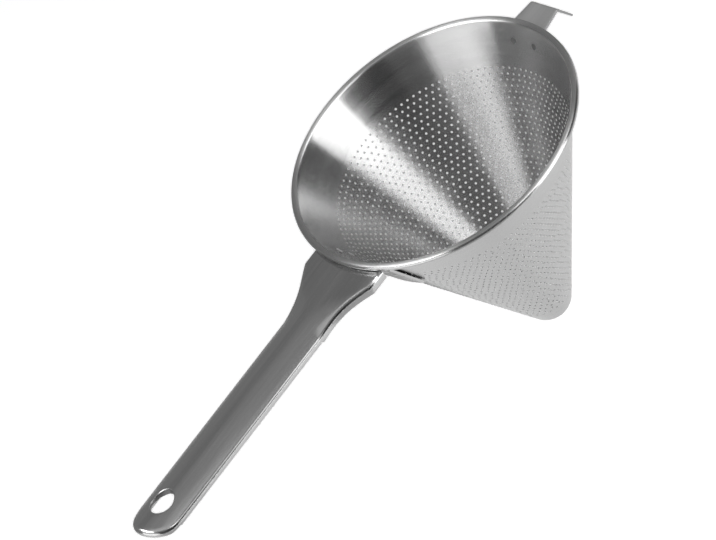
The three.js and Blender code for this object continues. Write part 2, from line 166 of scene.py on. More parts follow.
def punch_ring(piece, ring, count, rise, fall):
    """One ring of holes: a hole with its cell of sheet, laid on the cone and repeated round the axis."""
    slant = first_ring + ring * ring_step
    radius = on_cone(0, slant).x
    half_width = math.pi * radius / count
    turn = math.pi / count * (ring % 2)

    def cell_corner(point):
        aside = point.x / hole_radius
        up = point.y / hole_radius
        x = 0 if abs(aside) < 0.3 else math.copysign(half_width, aside)
        y = up if abs(up) < 0.5 else math.copysign(1, up)
        return Vector((x, y * (rise if y > 0 else fall), 0))

    bpy.ops.mesh.select_all(action="DESELECT")
    bpy.ops.mesh.primitive_circle_add(vertices=hole_sides, radius=hole_radius)
    pull(piece, cell_corner)
    bpy.ops.mesh.select_linked()
    move_selected(piece, lambda point: on_cone(turn + point.x / radius, slant - point.y))
    bpy.ops.mesh.spin(
        steps=count - 1, dupli=True, angle=2 * math.pi * (count - 1) / count,
        center=(0, 0, 0), axis=(0, 0, 1))


cone = start_piece("perforated_cone")
half_step = ring_step / 2
ring_number = 0
seam_heights = []
for holes_round, rings_in_block in hole_blocks:
    for place_in_block in range(rings_in_block):
        is_first = place_in_block == 0
        is_last = place_in_block == rings_in_block - 1
        punch_ring(
            cone, ring_number, holes_round,
            half_step - (seam_room if is_first else 0), half_step - (seam_room if is_last else 0))
        ring_number += 1
    seam_heights.append(on_cone(0, first_ring + (ring_number - 0.5) * ring_step).z)
bpy.ops.mesh.select_all(action="SELECT")
bpy.ops.mesh.remove_doubles(threshold=merge_distance)
for seam_height in seam_heights[:-1]:
    pick_free_edges(cone, lambda point: abs(point.z - seam_height) < 2 * seam_room)
    bpy.ops.mesh.bridge_edge_loops()

# The plain band, the lip and the curl of the bead are pulled up from the first ring
band_slants = [21 * mm, 13 * mm, 6 * mm]
rim_profile = [(on_cone(0, slant).x, on_cone(0, slant).z) for slant in band_slants]
lip_steps = 5
for step in range(lip_steps + 1):
    angle = math.pi - cone_angle + (cone_angle - math.pi / 2) * step / lip_steps
    rim_profile.append(
        (bead_middle + lip_radius * math.cos(angle), lip_radius * (math.sin(angle) - 1)))
curl_steps = 15
for step in range(1, curl_steps + 1):
    angle = math.pi / 2 - bead_curl * step / curl_steps
    rim_profile.append(
        (bead_middle + bead_radius * math.cos(angle), bead_radius * (math.sin(angle) - 1)))
first_edge = on_cone(0, first_ring - half_step).z
pick_free_edges(cone, lambda point: point.z > first_edge - 2 * seam_room)
for profile_radius, profile_height in rim_profile:
    pull(cone, lambda point: round_axis(point, profile_radius, profile_height))

# The rounded tip is pulled down from the last ring and closed at its pole
tip_middle = -(mouth_radius / math.tan(cone_angle) - tip_inside / math.sin(cone_angle))
tip_steps = 7
last_edge = seam_heights[-1]
pick_free_edges(cone, lambda point: point.z < last_edge + 2 * seam_room)
for step in range(tip_steps + 1):
    angle = cone_angle + (math.pi / 2 - cone_angle) * step / tip_steps
    tip_radius = tip_inside * math.cos(angle)
    tip_height = tip_middle - tip_inside * math.sin(angle)
    pull(cone, lambda point: round_axis(point, tip_radius, tip_height))
bpy.ops.mesh.select_all(action="SELECT")
bpy.ops.mesh.remove_doubles(threshold=merge_distance)
wall_top = -10 * mm


def wall_outward(point):
    """The way out of the cone's wall, below the rim."""
    return Vector((point.x, point.y, 0)) if point.z < wall_top else Vector()


face_outwards(cone, wall_outward)
finish_sheet(cone, cone_sheet, offset=1, edge_round=0)


def add_node(tree, kind, place, **settings):
    """A node of the given kind in a material or a group."""
    node = tree.nodes.new("ShaderNode" + kind)
    node.location = place
    for name, value in settings.items():
        setattr(node, name, value)
    return node


def make_brush_strokes():
    """Group for brushed steel: fine strokes that run across the third direction of its vector."""
    group = bpy.data.node_groups.new("brush strokes", "ShaderNodeTree")
    sockets = group.interface
    sockets.new_socket("Vector", in_out="INPUT", socket_type="NodeSocketVector")
    sockets.new_socket("Steel", in_out="INPUT", socket_type="NodeSocketColor")
    sockets.new_socket("Contrast", in_out="INPUT", socket_type="NodeSocketFloat")
    sockets.new_socket("Least Roughness", in_out="INPUT", socket_type="NodeSocketFloat")
    sockets.new_socket("Most Roughness", in_out="INPUT", socket_type="NodeSocketFloat")
    sockets.new_socket("Color", in_out="OUTPUT", socket_type="NodeSocketColor")
    sockets.new_socket("Roughness", in_out="OUTPUT", socket_type="NodeSocketFloat")
    sockets.new_socket("Height", in_out="OUTPUT", socket_type="NodeSocketFloat")
    given = group.nodes.new("NodeGroupInput")
    given.location = (-900, 0)
    result = group.nodes.new("NodeGroupOutput")
    result.location = (500, 0)
    strokes = add_node(group, "TexNoise", (-600, 200))
    strokes.inputs["Scale"].default_value = 1
    strokes.inputs["Detail"].default_value = 5
    strokes.inputs["Roughness"].default_value = 0.65
    clouds = add_node(group, "TexNoise", (-600, -200))
    clouds.inputs["Scale"].default_value = 0.08
    clouds.inputs["Detail"].default_value = 3
    blend = add_node(group, "Math", (-300, 100), operation="ADD")
    halve = add_node(group, "Math", (-300, -100), operation="MULTIPLY_ADD")
    halve.inputs[1].default_value = 0.5
    halve.inputs[2].default_value = 0
    darker = add_node(group, "Math", (-100, 250), operation="MULTIPLY_ADD")
    shade = add_node(group, "MixRGB", (150, 250), blend_type="MULTIPLY")
    shade.inputs["Fac"].default_value = 1
    rough = add_node(group, "MapRange", (150, -100))
    rough.inputs["From Min"].default_value = 0.3
    rough.inputs["From Max"].default_value = 0.7
    links = group.links
    links.new(given.outputs["Vector"], strokes.inputs["Vector"])
    links.new(given.outputs["Vector"], clouds.inputs["Vector"])
    links.new(strokes.outputs["Fac"], blend.inputs[0])
    links.new(clouds.outputs["Fac"], blend.inputs[1])
    links.new(blend.outputs[0], halve.inputs[0])
    links.new(halve.outputs[0], darker.inputs[0])
    links.new(given.outputs["Contrast"], darker.inputs[1])
    darker.inputs[2].default_value = 0.8
    links.new(given.outputs["Steel"], shade.inputs["Color1"])
    links.new(darker.outputs[0], shade.inputs["Color2"])
    links.new(halve.outputs[0], rough.inputs["Value"])
    links.new(given.outputs["Least Roughness"], rough.inputs["To Min"])
    links.new(given.outputs["Most Roughness"], rough.inputs["To Max"])
    links.new(shade.outputs["Color"], result.inputs["Color"])
    links.new(rough.outputs["Result"], result.inputs["Roughness"])
    links.new(strokes.outputs["Fac"], result.inputs["Height"])
    return group


brush_strokes = make_brush_strokes()


def steel_material(name, steel, contrast, least_rough, most_rough, bump_depth):
    """Steel with brush strokes; returns the material and the strokes, whose vector is free."""
    material = bpy.data.materials.new(name)
    material.use_nodes = True
    tree = material.node_tree
    shader = tree.nodes["Principled BSDF"]
    shader.inputs["Metallic"].default_value = 1
    strokes = add_node(tree, "Group", (-500, 200))
    strokes.node_tree = brush_strokes
    strokes.inputs["Steel"].default_value = (steel, steel, steel, 1)
    strokes.inputs["Contrast"].default_value = contrast
    strokes.inputs["Least Roughness"].default_value = least_rough
    strokes.inputs["Most Roughness"].default_value = most_rough
    bump = add_node(tree, "Bump", (-250, -250))
    bump.inputs["Strength"].default_value = 0.5
    bump.inputs["Distance"].default_value = bump_depth
    tree.links.new(strokes.outputs["Color"], shader.inputs["Base Color"])
    tree.links.new(strokes.outputs["Roughness"], shader.inputs["Roughness"])
    tree.links.new(strokes.outputs["Height"], bump.inputs["Height"])
    tree.links.new(bump.outputs["Normal"], shader.inputs["Normal"])
    return material, strokes


# Strokes round the cone: the pattern lies on a unit circle round the axis and repeats fast along it
cone_steel, cone_strokes = steel_material(
    "cone_steel", steel=0.54, contrast=0.4, least_rough=0.19, most_rough=0.27, bump_depth=0.003 * mm)
cone_tree = cone_steel.node_tree
cone_links = cone_tree.links
cone_shader = cone_tree.nodes["Principled BSDF"]
cone_shader.inputs["Anisotropic"].default_value = 0.9
cone_shader.inputs["Anisotropic Rotation"].default_value = 0.25
cone_place = add_node(cone_tree, "TexCoord", (-1400, 200))
cone_flat = add_node(cone_tree, "VectorMath", (-1200, 350), operation="MULTIPLY")
cone_flat.inputs[1].default_value = (1, 1, 0)
cone_ring = add_node(cone_tree, "VectorMath", (-1000, 350), operation="NORMALIZE")
cone_along = add_node(cone_tree, "VectorMath", (-1000, 150), operation="MULTIPLY")
cone_along.inputs[1].default_value = (0, 0, 1400)
cone_slow = add_node(cone_tree, "VectorMath", (-800, 350), operation="SCALE")
cone_slow.inputs["Scale"].default_value = 2.5
cone_vector = add_node(cone_tree, "VectorMath", (-700, 200), operation="ADD")
cone_links.new(cone_place.outputs["Object"], cone_flat.inputs[0])
cone_links.new(cone_flat.outputs[0], cone_ring.inputs[0])
cone_links.new(cone_ring.outputs[0], cone_slow.inputs[0])
cone_links.new(cone_place.outputs["Object"], cone_along.inputs[0])
cone_links.new(cone_slow.outputs[0], cone_vector.inputs[0])
cone_links.new(cone_along.outputs[0], cone_vector.inputs[1])
cone_links.new(cone_vector.outputs[0], cone_strokes.inputs["Vector"])

# The rolled rim is rougher than the wall, and the sheared edges of the holes are matt and pale
cone_height = add_node(cone_tree, "SeparateXYZ", (-1200, -100))
rim_share = add_node(cone_tree, "MapRange", (-1000, -100))
rim_share.inputs["From Min"].default_value = -0.5 * mm
rim_share.inputs["From Max"].default_value = -0.15 * mm
wall_way = add_node(cone_tree, "VectorMath", (-1000, -350), operation="MULTIPLY_ADD")
wall_way.inputs[1].default_value = (math.cos(cone_angle), math.cos(cone_angle), 0)
wall_way.inputs[2].default_value = (0, 0, -math.sin(cone_angle))
face_way = add_node(cone_tree, "NewGeometry", (-1000, -600))
face_turn = add_node(cone_tree, "VectorMath", (-800, -400), operation="DOT_PRODUCT")
face_square = add_node(cone_tree, "Math", (-600, -400), operation="ABSOLUTE")
shear_share = add_node(cone_tree, "MapRange", (-400, -400))
shear_share.inputs["From Min"].default_value = 0.7
shear_share.inputs["From Max"].default_value = 0.4
below_rim = add_node(cone_tree, "Math", (-400, -650), operation="LESS_THAN")
below_rim.inputs[1].default_value = -8 * mm
hole_shear = add_node(cone_tree, "Math", (-200, -450), operation="MULTIPLY")
cone_colour = add_node(cone_tree, "MixRGB", (-200, 400))
cone_colour.inputs["Color2"].default_value = (0.85, 0.85, 0.85, 1)
rim_rough = add_node(cone_tree, "Math", (-400, -100), operation="MULTIPLY_ADD")
rim_rough.inputs[1].default_value = 0.22
cone_rough = add_node(cone_tree, "Math", (-200, -100), operation="MULTIPLY_ADD")
cone_rough.inputs[1].default_value = 0.5
cone_links.new(cone_place.outputs["Object"], cone_height.inputs[0])
cone_links.new(cone_height.outputs["Z"], rim_share.inputs["Value"])
cone_links.new(cone_ring.outputs[0], wall_way.inputs[0])
cone_links.new(wall_way.outputs[0], face_turn.inputs[0])
cone_links.new(face_way.outputs["True Normal"], face_turn.inputs[1])
cone_links.new(face_turn.outputs["Value"], face_square.inputs[0])
cone_links.new(face_square.outputs[0], shear_share.inputs["Value"])
cone_links.new(cone_height.outputs["Z"], below_rim.inputs[0])
cone_links.new(shear_share.outputs["Result"], hole_shear.inputs[0])
cone_links.new(below_rim.outputs[0], hole_shear.inputs[1])
cone_links.new(hole_shear.outputs[0], cone_colour.inputs["Fac"])
cone_links.new(cone_strokes.outputs["Color"], cone_colour.inputs["Color1"])
cone_links.new(cone_colour.outputs["Color"], cone_shader.inputs["Base Color"])
cone_links.new(rim_share.outputs["Result"], rim_rough.inputs[0])
cone_links.new(cone_strokes.outputs["Roughness"], rim_rough.inputs[2])
cone_links.new(hole_shear.outputs[0], cone_rough.inputs[0])
cone_links.new(rim_rough.outputs[0], cone_rough.inputs[2])
cone_links.new(cone_rough.outputs[0], cone_shader.inputs["Roughness"])
cone.data.materials.append(cone_steel)
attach(cone, "root")
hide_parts("strainer_cone")


# The handle: one pressed sheet of thicker steel, polished. It flares at the root, runs on as a channel
# with turned-in lips, ends round with a hang hole, and at the root folds down to a saddle on the cone.
handle_sheet = 1.5 * mm
sheet_top = -5 * mm
root_half = 27.4 * mm
flare_start = 95.5 * mm
grip_start = 132 * mm
grip_half = 15.8 * mm
grip_stations = [220 * mm, 190 * mm, 160 * mm, 135 * mm, 133.5 * mm]
wall_end = 263 * mm
end_middle = 264.2 * mm
handle_end = 280 * mm
crown_rise = 4.5 * mm
shoulder = 2.8 * mm
grip_wall = 2.2 * mm
root_wall = 3.4 * mm
end_wall = 0.6 * mm
grip_depth = crown_rise + shoulder + grip_wall
root_depth = shoulder + root_wall
lip_bend = 1.6 * mm
lip_edge = 12.2 * mm
hole_x = handle_end - 21.7 * mm
hang_hole_half = Vector((7.95 * mm, 6.95 * mm, 0))
hole_edge_round = 0.8 * mm
hole_edge_half = hang_hole_half + Vector((hole_edge_round, hole_edge_round, 0))
hole_collar = 4.5 * mm
shallow_collar = 0.3 * mm
root_station = 91 * mm
plate_inner = 88 * mm
saddle_neck = -9.5 * mm
saddle_bottom = -42 * mm
saddle_heights = [saddle_neck, -15 * mm, -22 * mm, -29 * mm, -36 * mm, saddle_bottom]
ear_angles = [math.radians(degrees) for degrees in (16.6, 17.6, 18.3, 18.8, 19.1, 19.2)]
saddle_half_angle = ear_angles[-1]
saddle_corner = 2.5 * mm
seat_gap = 0.3 * mm
saddle_stand_off = 0.9 * mm
fold_radius = 2.95 * mm
sheet_edge_round = 0.2 * mm
crown_slope = math.atan2(2 * crown_rise, grip_half)
flat_half = grip_half - shoulder * (1 - math.sin(crown_slope))
box_start = hole_x - flat_half


def crown_height(y):
    """Height of the grip's crowned top at a distance from its middle line."""
    return sheet_top - crown_rise * (y / flat_half) ** 2


def edge_radius(way):
    """How far the crowned top reaches before the shoulder, along a level way out of the end's middle."""
    return grip_half - shoulder * (1 - math.sin(crown_slope * abs(way.y)))


def end_outline(angle):
    """The crowned top's edge round the hang hole, by the angle from the handle's end."""
    side = math.copysign(1, angle)
    turn = abs(angle)
    corner = math.radians(135)
    if turn >= corner - tiny:
        y = flat_half * (math.pi - turn) / (math.pi - corner)
        return Vector((box_start, side * y, 0))
    straight = end_middle - box_start
    quarter = flat_half * math.pi / 2
    run = (straight + quarter) * (1 - turn / corner)
    if run <= straight:
        return Vector((box_start + run, side * flat_half, 0))
    bend = math.pi / 2 - (run - straight) / flat_half
    way = Vector((math.cos(bend), side * math.sin(bend), 0))
    return Vector((end_middle, 0, 0)) + way * edge_radius(way)


handle = start_piece("pressed_handle")
hole_points = 48
bpy.ops.mesh.primitive_circle_add(vertices=hole_points, radius=1)
move_selected(handle, lambda point: Vector((
    hole_x + point.x * hole_edge_half.x, point.y * hole_edge_half.y, 0)))


def hole_angle(point):
    """Angle of a point round the middle of the hang hole, read off its ellipse."""
    return math.atan2(point.y / hole_edge_half.y, (point.x - hole_x) / hole_edge_half.x)


def on_hole(point):
    """Whether a point lies on the first ring of the hang hole."""
    reach = math.hypot((point.x - hole_x) / hole_edge_half.x, point.y / hole_edge_half.y)
    return abs(reach - 1) < 0.01


def hole_ring(inset, drop):
    """Puts a point on a ring of the hang hole, inset from its first ring and dropped below the top."""
    def place(point):
        angle = hole_angle(point)
        x = hole_x + (hole_edge_half.x - inset) * math.cos(angle)
        y = (hole_edge_half.y - inset) * math.sin(angle)
        return Vector((x, y, crown_height(y) - drop))
    return place


def hole_foot(point):
    """The lower end of the hang hole's turned-down edge, which is deepest towards the root."""
    towards_root = 0.5 - 0.5 * math.cos(hole_angle(point))
    shallow = hole_edge_round + shallow_collar
    depth = shallow + (hole_collar - shallow) * towards_root
    return Vector((point.x, point.y, crown_height(point.y) - depth))


# Rings from the hole to the edge of the top; each point's height keeps its angle until all are drawn
def top_ring(share):
    """Puts a point between the hole's edge and the edge of the top, by its angle."""
    def place(point):
        hole_point = Vector((
            hole_x + hole_edge_half.x * math.cos(point.z), hole_edge_half.y * math.sin(point.z), 0))
        flat = hole_point.lerp(end_outline(point.z), share)
        return Vector((flat.x, flat.y, point.z))
    return place


move_selected(handle, lambda point: Vector((point.x, point.y, hole_angle(point))))
top_rings = 5
for step in range(1, top_rings + 1):
    pull(handle, top_ring(step / top_rings))
bpy.ops.mesh.select_all(action="SELECT")
move_selected(handle, lambda point: Vector((point.x, point.y, crown_height(point.y))))
pick_free_edges(handle, on_hole)
edge_steps = 4
for step in range(1, edge_steps + 1):
    angle = math.pi / 2 * step / edge_steps
    pull(handle, hole_ring(hole_edge_round * math.sin(angle), hole_edge_round * (1 - math.cos(angle))))
pull(handle, hole_foot)


def shoulder_step(share):
    """Moves a point of the crowned top's edge out over the rounded shoulder, by a share of its turn."""
    def place(point):
        inner = Vector((min(point.x, end_middle), 0, 0))
        way = (Vector((point.x, point.y, 0)) - inner).normalized()
        flat = inner + way * edge_radius(way)
        slope = crown_slope * abs(way.y)
        tilt = slope + (math.pi / 2 - slope) * share
        out = inner + way * (grip_half - shoulder * (1 - math.sin(tilt)))
        return Vector((out.x, out.y, crown_height(flat.y) - shoulder * (math.cos(slope) - math.cos(tilt))))
    return place


grip_foot = sheet_top - grip_depth + lip_bend
wall_ramp = 3 * mm


def wall_foot(point):
    """The lower edge of the walls round the end; along the grip they reach down to the bend of the lips."""
    ramp = min(1, max(0, (wall_end - point.x) / wall_ramp))
    end_foot = crown_height(min(abs(point.y), flat_half)) - shoulder - end_wall
    return Vector((point.x, point.y, end_foot * (1 - ramp) + grip_foot * ramp))


def on_top_edge(point):
    """Whether a point lies on the crowned top's edge round the end, where the shoulder starts."""
    beyond_box = point.x > box_start + tiny
    at_corner = point.x > box_start - tiny and abs(point.y) > flat_half - tiny
    outside = math.hypot(point.x - hole_x, point.y) > flat_half - tiny
    return (beyond_box or at_corner) and outside and not on_hole(point)


shoulder_steps = 5
pick_free_edges(handle, on_top_edge)
for step in range(1, shoulder_steps + 1):
    pull(handle, shoulder_step(step / shoulder_steps))
pull(handle, wall_foot)


def section_slope(half, crown):
    """Tilt at which the crowned top runs into the rounded shoulder."""
    return math.atan2(2 * crown, half)


def across(point, half, crown, depth):
    """A point's share across the handle: 0 to 1 on top, to 2 round the shoulder, to 3 down the wall."""
    slope = section_slope(half, crown)
    flat = half - shoulder * (1 - math.sin(slope))
    y = abs(point.y)
    drop = sheet_top - crown - point.z
    round_drop = shoulder * math.cos(slope)
    if y <= flat + tiny:
        share = y / flat
    elif drop <= round_drop + tiny:
        tilt = math.atan2(y - half + shoulder, round_drop - drop)
        share = 1 + (tilt - slope) / (math.pi / 2 - slope)
    else:
        share = 2 + (drop - round_drop) / (depth - crown - round_drop)
    return math.copysign(share, point.y)


def section_point(share, x, half, crown, depth):
    """A point of the handle's section at x, by its share across."""
    slope = section_slope(half, crown)
    size = abs(share)
    top = min(size, 1)
    tilt = slope + min(max(size - 1, 0), 1) * (math.pi / 2 - slope)
    down = max(size - 2, 0) * (depth - crown - shoulder * math.cos(slope))
    y = (half - shoulder * (1 - math.sin(slope))) * top + shoulder * (math.sin(tilt) - math.sin(slope))
    z = sheet_top - crown * top ** 2 - shoulder * (math.cos(slope) - math.cos(tilt)) - down
    return Vector((x, math.copysign(y, share), z))


# The section at the hang hole's box is pulled along the grip, out through the flare and to the root
grip_shape = (grip_half, crown_rise, grip_depth - lip_bend)
stations = [(x, *grip_shape) for x in grip_stations]
flare_steps = 14
flare_corners = [
    (grip_start, grip_half), (114 * mm, grip_half), (107 * mm, 21.5 * mm), (flare_start, root_half)]
for step in range(flare_steps + 1):
    share = step / flare_steps
    weights = [(1 - share) ** 3, 3 * share * (1 - share) ** 2, 3 * share ** 2 * (1 - share), share ** 3]
    x = sum(weight * corner[0] for weight, corner in zip(weights, flare_corners))
    half = sum(weight * corner[1] for weight, corner in zip(weights, flare_corners))
    crown = crown_rise * (1 - share) ** 2
    wall = grip_wall + (root_wall - grip_wall) * share
    stations.append((x, half, crown, crown + shoulder + wall))
stations.append((root_station, root_half, 0, root_depth))
pick_free_edges(handle, lambda point: abs(point.x - box_start) < tiny)
shape_before = grip_shape
for x, *shape in stations:
    pull(handle, lambda point: section_point(across(point, *shape_before), x, *shape))
    shape_before = shape
pull(handle, lambda point: Vector((math.sqrt(plate_inner ** 2 - point.y ** 2), point.y, point.z)))

# The flat of the root folds down to the saddle, which lies on the cone and widens into two ears
seat_offset = cone_sheet + seat_gap
corner_radius = mouth_radius + sheet_top * math.tan(cone_angle) + seat_offset / math.cos(cone_angle)
bend_angle = math.pi / 2 - cone_angle
setback = fold_radius * math.tan(bend_angle / 2)
fold_path = []
bend_steps = 5
for step in range(bend_steps + 1):
    turn = bend_angle * step / bend_steps
    fold_path.append((
        corner_radius + setback - fold_radius * math.sin(turn),
        sheet_top - fold_radius * (1 - math.cos(turn))))
for height in saddle_heights:
    fold_path.append((corner_radius + (height - sheet_top) * math.tan(cone_angle), height))
height_slack = 0.01 * mm
angle_slack = 0.0001


def on_root_edge(point):
    """Whether a point lies on the level inner edge of the root, where the fold starts."""
    at_edge = abs(math.hypot(point.x, point.y) - plate_inner) < tiny
    return at_edge and point.z > sheet_top - height_slack


pick_free_edges(handle, on_root_edge)
fold_half_angle = math.asin((root_half - shoulder) / plate_inner)
for path_radius, path_height in fold_path:
    pull(handle, lambda point: round_axis(point, path_radius, path_height))


def ear_step(azimuth):
    """Moves a point of the saddle's side out to an azimuth, with the lower corner rounded."""
    from_edge = (saddle_half_angle - azimuth) * plate_inner
    inside = max(0, saddle_corner - from_edge)
    lift = saddle_corner - math.sqrt(max(0, saddle_corner ** 2 - inside ** 2))
    side_share = (azimuth - fold_half_angle) / (saddle_half_angle - fold_half_angle)
    stand_off = saddle_stand_off * side_share ** 2

    def place(point):
        share = (point.z - saddle_neck) / (saddle_bottom - saddle_neck)
        height = saddle_neck + share * (saddle_bottom + lift - saddle_neck)
        radius = corner_radius + (height - sheet_top) * math.tan(cone_angle) + stand_off
        side = math.copysign(azimuth, point.y)
        return Vector((radius * math.cos(side), radius * math.sin(side), height))
    return place


def on_saddle_side(point):
    """Whether a point lies on one of the saddle's two sides, where the ears start."""
    on_saddle = point.z < saddle_neck + height_slack and point.x < plate_inner - 3 * mm
    return on_saddle and abs(math.atan2(point.y, point.x)) > fold_half_angle - angle_slack


pick_free_edges(handle, on_saddle_side)
for ear_angle in ear_angles:
    pull(handle, ear_step(ear_angle))


# The lips are turned in under the grip from the lower edges of its walls
def lip_step(angle):
    """Moves a point of a wall's lower edge round the bend of the lip."""
    def place(point):
        side = math.copysign(1, point.y)
        y = grip_half - lip_bend * (1 - math.cos(angle))
        z = sheet_top - grip_depth + lip_bend * (1 - math.sin(angle))
        return Vector((point.x, side * y, z))
    return place


def on_grip_foot(point):
    """Whether a point lies on the lower edge of a wall along the grip."""
    at_foot = abs(point.z - grip_foot) < tiny and abs(abs(point.y) - grip_half) < tiny
    return at_foot and grip_start + mm < point.x < wall_end


pick_free_edges(handle, on_grip_foot)
grip_lip_steps = 4
for step in range(1, grip_lip_steps + 1):
    pull(handle, lip_step(math.pi / 2 * step / grip_lip_steps))
pull(handle, lambda point: Vector((point.x, math.copysign(lip_edge, point.y), point.z)))
bpy.ops.mesh.select_all(action="SELECT")
bpy.ops.mesh.remove_doubles(threshold=merge_distance / 4)


def top_outward(point):
    """The way out of the handle's top."""
    is_top = point.z > sheet_top - 2 * mm and point.x > root_station + mm
    return Vector((0, 0, 1)) if is_top else Vector()


face_outwards(handle, top_outward)
finish_sheet(handle, handle_sheet, offset=-1, edge_round=sheet_edge_round)

handle_tone = 0.56
# The tone of the hang hole's turned-down edge is painted shade
hang_hole_painted_shade_tone = 0.16
handle_steel, handle_strokes = steel_material(
    "handle_steel", steel=handle_tone, contrast=0.4, least_rough=0.16, most_rough=0.26,
    bump_depth=0.0012 * mm)
handle_tree = handle_steel.node_tree
handle_place = add_node(handle_tree, "TexCoord", (-1000, 200))
handle_vector = add_node(handle_tree, "Mapping", (-800, 200))
handle_vector.inputs["Scale"].default_value = (25, 900, 900)
handle_tree.links.new(handle_place.outputs["Object"], handle_vector.inputs["Vector"])
handle_tree.links.new(handle_vector.outputs["Vector"], handle_strokes.inputs["Vector"])
# The turned-down edge of the hang hole is painted dark: painted shade on the hole's inner wall
hang_place = add_node(handle_tree, "VectorMath", (-800, 500), operation="MULTIPLY_ADD")
hang_place.inputs[1].default_value = (1 / hang_hole_half.x, 1 / hang_hole_half.y, 0)
hang_place.inputs[2].default_value = (-hole_x / hang_hole_half.x, 0, 0)
hang_reach = add_node(handle_tree, "VectorMath", (-650, 500), operation="LENGTH")
hang_hole_painted_shade = add_node(handle_tree, "MapRange", (-500, 500))
hang_hole_painted_shade.inputs["From Min"].default_value = 1.005
hang_hole_painted_shade.inputs["From Max"].default_value = 1.03
hang_hole_painted_shade.inputs["To Min"].default_value = hang_hole_painted_shade_tone
hang_hole_painted_shade.inputs["To Max"].default_value = handle_tone
handle_tree.links.new(handle_place.outputs["Object"], hang_place.inputs[0])
handle_tree.links.new(hang_place.outputs[0], hang_reach.inputs[0])
handle_tree.links.new(hang_reach.outputs["Value"], hang_hole_painted_shade.inputs["Value"])
handle_tree.links.new(hang_hole_painted_shade.outputs["Result"], handle_strokes.inputs["Steel"])
handle.data.materials.append(handle_steel)
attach(handle, "root")
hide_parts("handle")


# The rest hook: a strip of steel bent twice. Its leg lies on the cone under the bead, its level tab rests
# on the rim of a pot, and its end slopes down and out. It is spot welded to the cone.
hook_sheet = 1.2 * mm
hook_level = sheet_top - hook_sheet / 2
hook_leg_foot = -22 * mm
hook_reach = 105 * mm
hook_lip = 15.5 * mm
hook_lip_angle = math.radians(63)
hook_bend = 1.8 * mm
hook_leg_half = 15 * mm
hook_tab_half = 10.8 * mm
hook_corner = 4 * mm
hook_bend_steps = 6
lip_end_shares = [1.6, 1, 0.65, 0.35, 0.12, 0]


def hook_seat(height):
    """The middle of the hook's leg at a height, as radius and height."""
    offset = cone_sheet + seat_gap + hook_sheet / 2
    return Vector((mouth_radius + height * math.tan(cone_angle) + offset / math.cos(cone_angle), height))


def bent_line(before, corner, after, steps):
    """Points round a bend of the hook, between the lines to the corners before and after it."""
    inward = (corner - before).normalized()
    onward = (after - corner).normalized()
    bend = inward.angle_signed(onward)
    setback = hook_bend * math.tan(abs(bend) / 2)
    points = []
    for step in range(steps + 1):
        share = step / steps
        start = corner - inward * setback
        end = corner + onward * setback
        half = math.cos(bend / 2)
        weights = [(1 - share) ** 2, 2 * half * share * (1 - share), share ** 2]
        total = sum(weights)
        points.append((start * weights[0] + corner * weights[1] + end * weights[2]) / total)
    return points


hook_foot = hook_seat(hook_leg_foot)
hook_fold = hook_seat(hook_level)
hook_turn = Vector((hook_reach, hook_level))
hook_down = Vector((math.cos(hook_lip_angle), -math.sin(hook_lip_angle)))
hook_line = [hook_foot, hook_seat(-18 * mm), hook_seat(-13 * mm)]
hook_line += bent_line(hook_foot, hook_fold, hook_turn, hook_bend_steps)
hook_line.append((hook_fold + hook_turn) / 2)
hook_line += bent_line(hook_fold, hook_turn, hook_turn + hook_down, hook_bend_steps)
hook_line += [hook_turn + hook_down * (hook_lip - share * hook_corner) for share in lip_end_shares]


def hook_half_width(point):
    """Half the strip's width at a point of its middle line."""
    share = min(1, max(0, (point.x - hook_foot.x) / (hook_turn.x - hook_foot.x)))
    to_end = hook_lip - (point - hook_turn).dot(hook_down)
    inside = max(0, hook_corner - max(0, to_end))
    rounding = hook_corner - math.sqrt(hook_corner ** 2 - inside ** 2)
    return hook_leg_half + (hook_tab_half - hook_leg_half) * share - rounding


def hook_point(share, point):
    """A point of the strip by its share across; the leg follows the cone's roundness."""
    y = share * hook_half_width(point)
    hug = min(1, max(0, (rim_radius - point.x) / (rim_radius - hook_fold.x)))
    sag = point.x - math.sqrt(point.x ** 2 - y ** 2)
    return Vector((-(point.x - hug * sag), y, point.y))


hook = start_piece("rest_hook_strip")
bpy.ops.mesh.primitive_grid_add(x_subdivisions=1, y_subdivisions=10, size=2)
move_selected(hook, lambda point: hook_point(point.y, hook_line[0 if point.x < 0 else 1]))
pick_free_edges(hook, lambda point: abs(point.z - hook_line[1].y) < tiny)
point_before = hook_line[1]
for line_point in hook_line[2:]:
    pull(hook, lambda point: hook_point(point.y / hook_half_width(point_before), line_point))
    point_before = line_point


def tab_outward(point):
    """The way out of the hook's level tab."""
    is_tab = rim_radius + 2 * mm < -point.x < hook_reach - mm
    return Vector((0, 0, 1)) if is_tab else Vector()


face_outwards(hook, tab_outward)
finish_sheet(hook, hook_sheet, offset=0, edge_round=sheet_edge_round)

hook_tone = 0.71
hook_edge_tone = 0.34
hook_steel, hook_strokes = steel_material(
    "hook_steel", steel=hook_tone, contrast=0.4, least_rough=0.34, most_rough=0.48, bump_depth=0.004 * mm)
hook_tree = hook_steel.node_tree
hook_place = add_node(hook_tree, "TexCoord", (-1000, 200))
hook_vector = add_node(hook_tree, "Mapping", (-800, 200))
hook_vector.inputs["Scale"].default_value = (25, 900, 25)
hook_tree.links.new(hook_place.outputs["Object"], hook_vector.inputs["Vector"])
hook_tree.links.new(hook_vector.outputs["Vector"], hook_strokes.inputs["Vector"])
